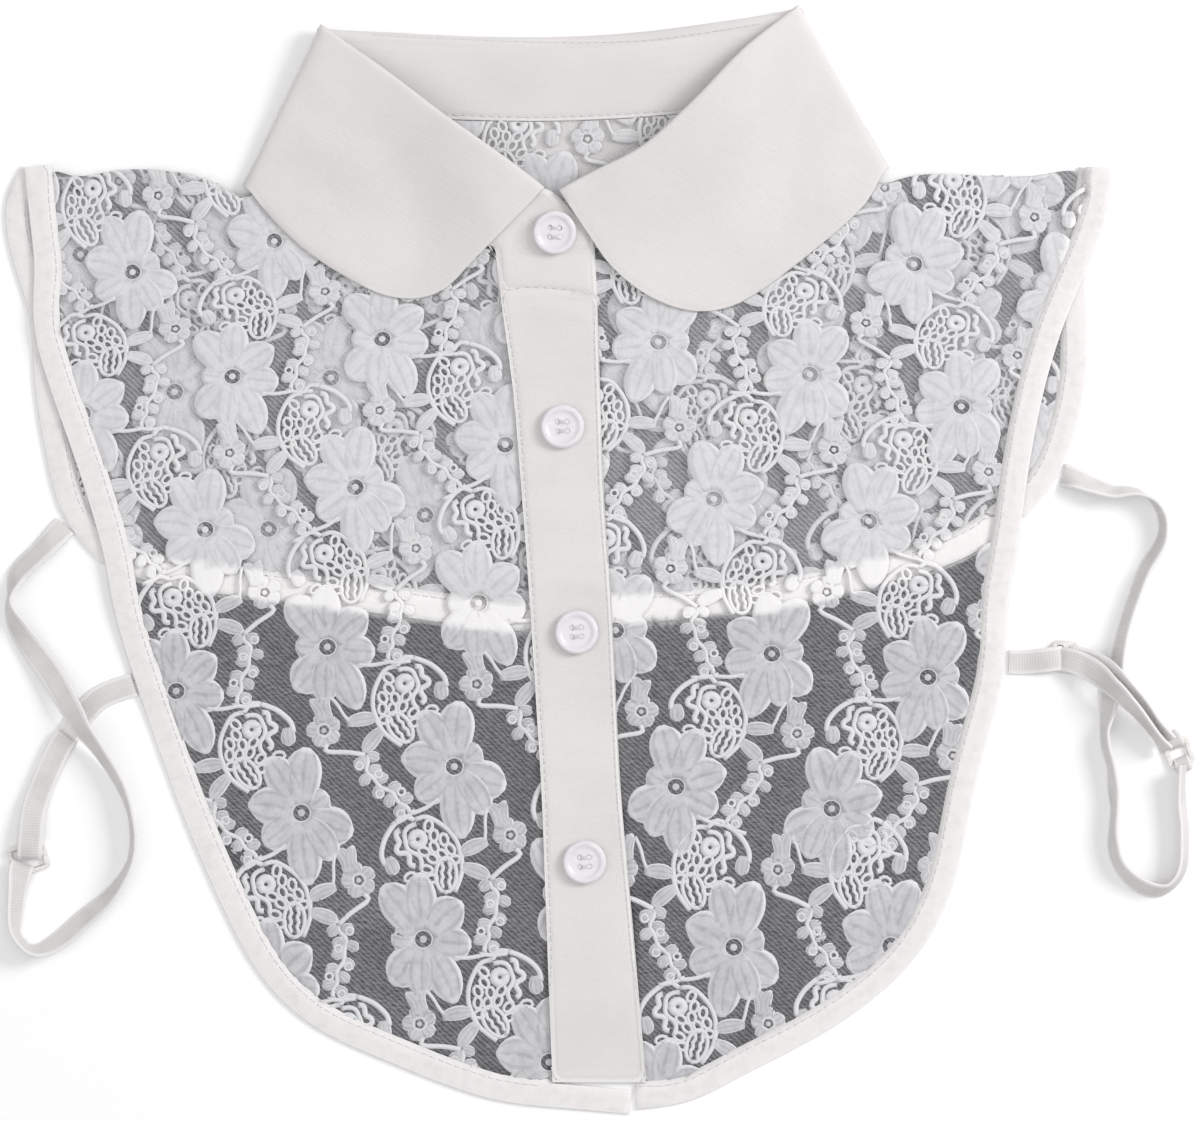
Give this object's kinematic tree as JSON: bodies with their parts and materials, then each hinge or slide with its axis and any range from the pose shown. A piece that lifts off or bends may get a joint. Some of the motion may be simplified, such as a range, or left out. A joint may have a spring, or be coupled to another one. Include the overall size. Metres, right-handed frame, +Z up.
{
  "type": "detachable lace shirt collar",
  "caption": "Detachable shirt collar on a short lace bib with a buttoned front placket, bound edges and elastic side straps, laid flat.",
  "frame": {"origin": "on the surface that the collar lies on, under the middle of its outline", "axes": "+Z up out of the surface and towards the face of the laid collar, +Y towards the neck, +X towards the strap with the slider"},
  "size_m": [0.3945, 0.3645, 0.0144],
  "materials": {
    "cotton": "plain woven shirt cotton, matt",
    "lace": "floral lace on fine net, matt",
    "tape": "folded bias tape, matt",
    "elastic": "ribbed flat elastic, matt",
    "pearl": "pearly, smooth",
    "plastic": "satin, moulded"
  },
  "bodies": {
    "root": {"back_binding_left": "tape", "back_binding_right": "tape", "back_hem_binding": "tape", "back_panel": "lace", "button_1": "pearl", "button_2": "pearl", "button_3": "pearl", "button_4": "pearl", "collar_leaf": "cotton", "collar_stand": "cotton", "front_binding_left": "tape", "front_binding_right": "tape", "front_panel_left": "lace", "front_panel_right": "lace", "placket_top": "cotton", "placket_under": "cotton", "ring_left": "plastic", "ring_right": "plastic", "slider_right": "plastic", "strap_left_front": "elastic", "strap_left_long": "elastic", "strap_left_return": "elastic", "strap_right_inner": "elastic", "strap_right_long": "elastic", "strap_right_outer": "elastic", "strap_right_tab": "elastic"}
  },
  "joints": []
}
